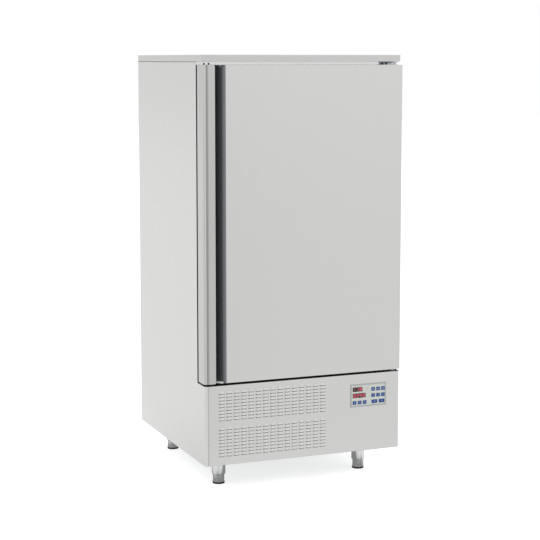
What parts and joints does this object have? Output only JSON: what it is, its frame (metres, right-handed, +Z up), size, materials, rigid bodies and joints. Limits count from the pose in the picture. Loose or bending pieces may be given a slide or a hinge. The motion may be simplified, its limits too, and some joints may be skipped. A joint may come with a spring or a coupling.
{
  "type": "blast chiller",
  "caption": "Upright stainless-steel blast chiller with one full-height door, a louvred service panel with controls below it, and adjustable feet.",
  "frame": {"origin": "on the floor, under the middle of the cabinet", "axes": "+X to the right seen from the front, +Y to the rear, +Z up; the door faces -Y"},
  "size_m": [0.8, 0.806, 1.623],
  "materials": {
    "outer_steel": "finely brushed stainless steel",
    "rear_steel": "galvanised sheet",
    "inner_steel": "satin stainless steel",
    "rigid_foam": "rigid polyurethane foam",
    "gasket_rubber": "soft extruded gasket",
    "cap_plastic": "light grey moulded plastic",
    "gland_plastic": "black moulded plastic",
    "bush_nylon": "natural nylon",
    "hinge_steel": "bright zinc-plated steel",
    "foot_metal": "stainless steel tube with a black pad",
    "bezel_plastic": "moulded grey-green plastic",
    "overlay_film": "pale polyester film",
    "display_lens": "dark tinted lens",
    "key_plastic": "blue moulded keys",
    "black_paint": "black paint",
    "coil_aluminium": "pressed fins",
    "copper_pipe": "drawn copper tube",
    "box_plastic": "grey moulded box",
    "fan_plastic": "black moulded fan"
  },
  "bodies": {
    "cabinet": {"left_side_panel": "outer_steel", "right_side_panel": "outer_steel", "rear_panel": "rear_steel", "top_cover": "outer_steel", "base_pan": "rear_steel", "deck_sheet": "rear_steel", "insulation_foam": "rigid_foam", "liner_left_wall": "inner_steel", "liner_right_wall": "inner_steel", "liner_back_wall": "inner_steel", "liner_ceiling": "inner_steel", "liner_floor": "inner_steel", "mouth_frame": "inner_steel", "front_service_panel": "outer_steel", "control_housing": "bezel_plastic", "control_overlay": "overlay_film", "display_windows": "display_lens", "upper_hinge_bracket": "hinge_steel", "lower_hinge_bracket": "hinge_steel", "hinge_pins": "hinge_steel", "foot_sleeves": "foot_metal", "compressor": "black_paint", "liquid_receiver": "black_paint", "condenser_coil": "coil_aluminium", "condenser_fan_shroud": "rear_steel", "refrigerant_pipes": "copper_pipe", "electrical_box": "box_plastic", "evaporator_coil": "coil_aluminium", "evaporator_fan_panel": "inner_steel", "evaporator_fan_guards": "hinge_steel", "fan_motors": "black_paint", "tray_rack_left": "inner_steel", "tray_rack_right": "inner_steel", "screws_and_nuts": "hinge_steel", "power_cable_gland": "gland_plastic"},
    "door": {"door_outer_skin": "outer_steel", "door_foam": "rigid_foam", "door_inner_panel": "inner_steel", "door_gasket": "gasket_rubber", "door_handle_profile": "outer_steel", "door_handle_caps": "cap_plastic", "door_hinge_bushes": "bush_nylon"},
    "evaporator_fan_lower": {"evaporator_fan_lower": "fan_plastic"},
    "evaporator_fan_upper": {"evaporator_fan_upper": "fan_plastic"},
    "condenser_fan": {"condenser_fan": "fan_plastic"},
    "leg_front_left": {"leg_front_left": "foot_metal"},
    "leg_front_right": {"leg_front_right": "foot_metal"},
    "leg_rear_left": {"leg_rear_left": "foot_metal"},
    "leg_rear_right": {"leg_rear_right": "foot_metal"},
    "key_high_left": {"key_high_left": "key_plastic"},
    "key_high_middle": {"key_high_middle": "key_plastic"},
    "key_high_right": {"key_high_right": "key_plastic"},
    "key_mid_left": {"key_mid_left": "key_plastic"},
    "key_mid_middle": {"key_mid_middle": "key_plastic"},
    "key_mid_right": {"key_mid_right": "key_plastic"},
    "key_low_left": {"key_low_left": "key_plastic"},
    "key_low_middle": {"key_low_middle": "key_plastic"},
    "key_low_right": {"key_low_right": "key_plastic"},
    "key_wide_left": {"key_wide_left": "key_plastic"},
    "key_wide_right": {"key_wide_right": "key_plastic"}
  },
  "joints": [
    {"name": "door_hinge", "type": "hinge", "parent": "cabinet", "child": "door", "pos_m": [0.376, -0.375, 1], "axis": [0, 0, 1], "range_deg": [0, 115]},
    {"name": "evaporator_fan_lower_spin", "type": "hinge", "parent": "cabinet", "child": "evaporator_fan_lower", "pos_m": [0, 0.1422, 0.78461], "axis": [0, 1, 0], "continuous": true},
    {"name": "evaporator_fan_upper_spin", "type": "hinge", "parent": "cabinet", "child": "evaporator_fan_upper", "pos_m": [0, 0.1422, 1.21839], "axis": [0, 1, 0], "continuous": true},
    {"name": "condenser_fan_spin", "type": "hinge", "parent": "cabinet", "child": "condenser_fan", "pos_m": [-0.13, -0.2338, 0.25825], "axis": [0, 1, 0], "continuous": true},
    {"name": "leg_front_left_height", "type": "slide", "parent": "cabinet", "child": "leg_front_left", "axis": [0, 0, -1], "range_m": [-0.012, 0.03]},
    {"name": "leg_front_right_height", "type": "slide", "parent": "cabinet", "child": "leg_front_right", "axis": [0, 0, -1], "range_m": [-0.012, 0.03]},
    {"name": "leg_rear_left_height", "type": "slide", "parent": "cabinet", "child": "leg_rear_left", "axis": [0, 0, -1], "range_m": [-0.012, 0.03]},
    {"name": "leg_rear_right_height", "type": "slide", "parent": "cabinet", "child": "leg_rear_right", "axis": [0, 0, -1], "range_m": [-0.012, 0.03]},
    {"name": "key_high_left_press", "type": "slide", "parent": "cabinet", "child": "key_high_left", "axis": [0, 1, 0], "range_m": [0, 0.0006], "stiffness_N_per_m": 3000, "springref_m": -0.0002},
    {"name": "key_high_middle_press", "type": "slide", "parent": "cabinet", "child": "key_high_middle", "axis": [0, 1, 0], "range_m": [0, 0.0006], "stiffness_N_per_m": 3000, "springref_m": -0.0002},
    {"name": "key_high_right_press", "type": "slide", "parent": "cabinet", "child": "key_high_right", "axis": [0, 1, 0], "range_m": [0, 0.0006], "stiffness_N_per_m": 3000, "springref_m": -0.0002},
    {"name": "key_mid_left_press", "type": "slide", "parent": "cabinet", "child": "key_mid_left", "axis": [0, 1, 0], "range_m": [0, 0.0006], "stiffness_N_per_m": 3000, "springref_m": -0.0002},
    {"name": "key_mid_middle_press", "type": "slide", "parent": "cabinet", "child": "key_mid_middle", "axis": [0, 1, 0], "range_m": [0, 0.0006], "stiffness_N_per_m": 3000, "springref_m": -0.0002},
    {"name": "key_mid_right_press", "type": "slide", "parent": "cabinet", "child": "key_mid_right", "axis": [0, 1, 0], "range_m": [0, 0.0006], "stiffness_N_per_m": 3000, "springref_m": -0.0002},
    {"name": "key_low_left_press", "type": "slide", "parent": "cabinet", "child": "key_low_left", "axis": [0, 1, 0], "range_m": [0, 0.0006], "stiffness_N_per_m": 3000, "springref_m": -0.0002},
    {"name": "key_low_middle_press", "type": "slide", "parent": "cabinet", "child": "key_low_middle", "axis": [0, 1, 0], "range_m": [0, 0.0006], "stiffness_N_per_m": 3000, "springref_m": -0.0002},
    {"name": "key_low_right_press", "type": "slide", "parent": "cabinet", "child": "key_low_right", "axis": [0, 1, 0], "range_m": [0, 0.0006], "stiffness_N_per_m": 3000, "springref_m": -0.0002},
    {"name": "key_wide_left_press", "type": "slide", "parent": "cabinet", "child": "key_wide_left", "axis": [0, 1, 0], "range_m": [0, 0.0006], "stiffness_N_per_m": 3000, "springref_m": -0.0002},
    {"name": "key_wide_right_press", "type": "slide", "parent": "cabinet", "child": "key_wide_right", "axis": [0, 1, 0], "range_m": [0, 0.0006], "stiffness_N_per_m": 3000, "springref_m": -0.0002}
  ]
}
